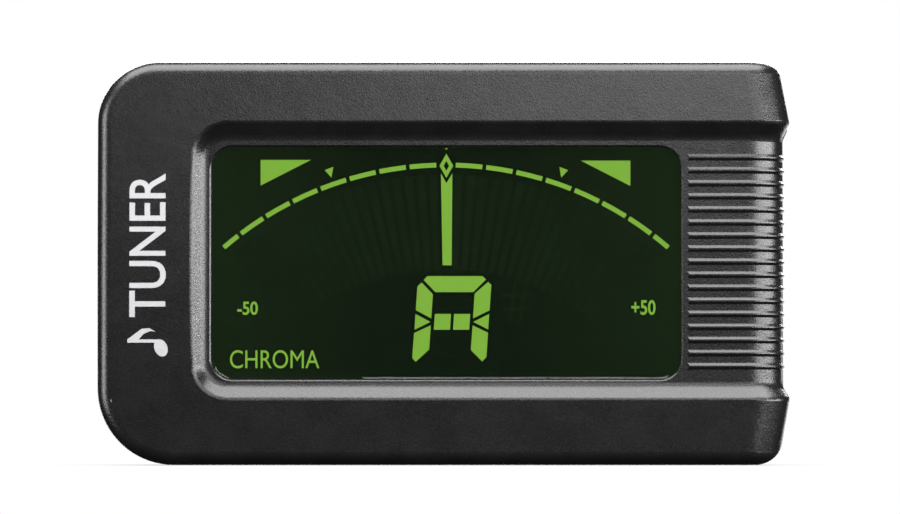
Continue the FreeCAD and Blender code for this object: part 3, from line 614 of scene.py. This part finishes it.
last_ring = [e for e in wound["geom_last"] if isinstance(e, bmesh.types.BMEdge)]
for ring, (length, lean), turn, sense in (
    (first_ring, HOUSING_LEG, FIRST_TURN, 1), (last_ring, LEVER_LEG, LAST_TURN, -1),
):
    ahead = on_coil(turn - 90 * sense)
    grown = bmesh.ops.extrude_edge_only(bm, edges=ring)["geom"]
    tip = [v for v in grown if isinstance(v, bmesh.types.BMVert)]
    bmesh.ops.translate(bm, verts=tip, vec=ahead * length)
    rim = [e for e in grown if isinstance(e, bmesh.types.BMEdge) and all(v in tip for v in e.verts)]
    bmesh.ops.contextual_create(bm, geom=rim)
bmesh.ops.recalc_face_normals(bm, faces=bm.faces)
spring = new_object("wound_spring", bm, smooth=40)
spring.data.materials.append(spring_steel)
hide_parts("torsion_spring")
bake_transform(spring)

# ---- Jaw pads ----
# Ribbed black rubber, pressed into shallow seats in the housing and in the lever's tip.
pad_rubber = moulded(
    "jaw_rubber", (0.010, 0.010, 0.010), (0.015, 0.015, 0.015), 0.68, 0.0003, 0.00001
)
paint(pad_rubber, "housing_pad", "lever_pad")

# ---- Screws ----
# Four pan head screws with a cross recess, black oxided steel, driven in from behind.
screw_black, tree, shader, place = new_finish("black_oxide")
oxide = noise(tree, place, 0.0004, 3.0, 0.6)
coloured(tree, shader, oxide, (0.030, 0.030, 0.032), (0.060, 0.060, 0.062))
shader.inputs["Metallic"].default_value = 0.9
roughened(tree, shader, oxide, 0.30, 0.42)
tree.links.new(bumped(tree, oxide, 0.000004), shader.inputs["Normal"])
paint(screw_black, "cover_screws")

# ---- Inside ----
# The works between the covers: display frame and light guide, the lacquered board with its
# chip, crystal and key switches, the pickup disc with its two wires, and the cell's contacts.
SWITCHES = ("crystal", "power_switch", "mode_switch", "pitch_switch")
PLUNGERS = ("power_plunger", "mode_plunger", "pitch_plunger")
for names, dark, light, rough, metal in (
    (("lcd_frame",), (0.62, 0.62, 0.60), (0.70, 0.70, 0.68), 0.5, 0.0),
    (("light_guide",), (0.75, 0.78, 0.75), (0.85, 0.88, 0.85), 0.1, 0.0),
    (("backlight_leds",), (0.80, 0.80, 0.66), (0.90, 0.90, 0.80), 0.3, 0.0),
    (("contact_strip",), (0.20, 0.20, 0.22), (0.30, 0.30, 0.32), 0.6, 0.0),
    (("main_board",), (0.010, 0.075, 0.025), (0.018, 0.11, 0.04), 0.35, 0.0),
    (("tuner_chip", "board_parts"), (0.012, 0.012, 0.012), (0.022, 0.022, 0.022), 0.45, 0.0),
    (SWITCHES, (0.55, 0.55, 0.55), (0.70, 0.70, 0.70), 0.3, 1.0),
    (PLUNGERS, (0.65, 0.65, 0.62), (0.75, 0.75, 0.72), 0.5, 0.0),
    (("pickup_disc",), (0.60, 0.42, 0.16), (0.75, 0.55, 0.24), 0.3, 1.0),
    (("pickup_ceramic",), (0.70, 0.69, 0.64), (0.80, 0.79, 0.74), 0.5, 0.0),
    (("pickup_wire_red",), (0.45, 0.02, 0.015), (0.60, 0.03, 0.02), 0.45, 0.0),
    (("pickup_wire_black",), (0.01, 0.01, 0.01), (0.02, 0.02, 0.02), 0.45, 0.0),
    (("positive_contact", "negative_contact"), (0.60, 0.58, 0.52), (0.75, 0.73, 0.68), 0.25, 1.0),
):
    made, tree, shader, place = new_finish(names[0] + "_finish")
    speckle = noise(tree, place, 0.0005, 3.0)
    coloured(tree, shader, speckle, dark, light)
    roughened(tree, shader, speckle, rough - 0.05, rough + 0.05)
    shader.inputs["Metallic"].default_value = metal
    paint(made, *names)
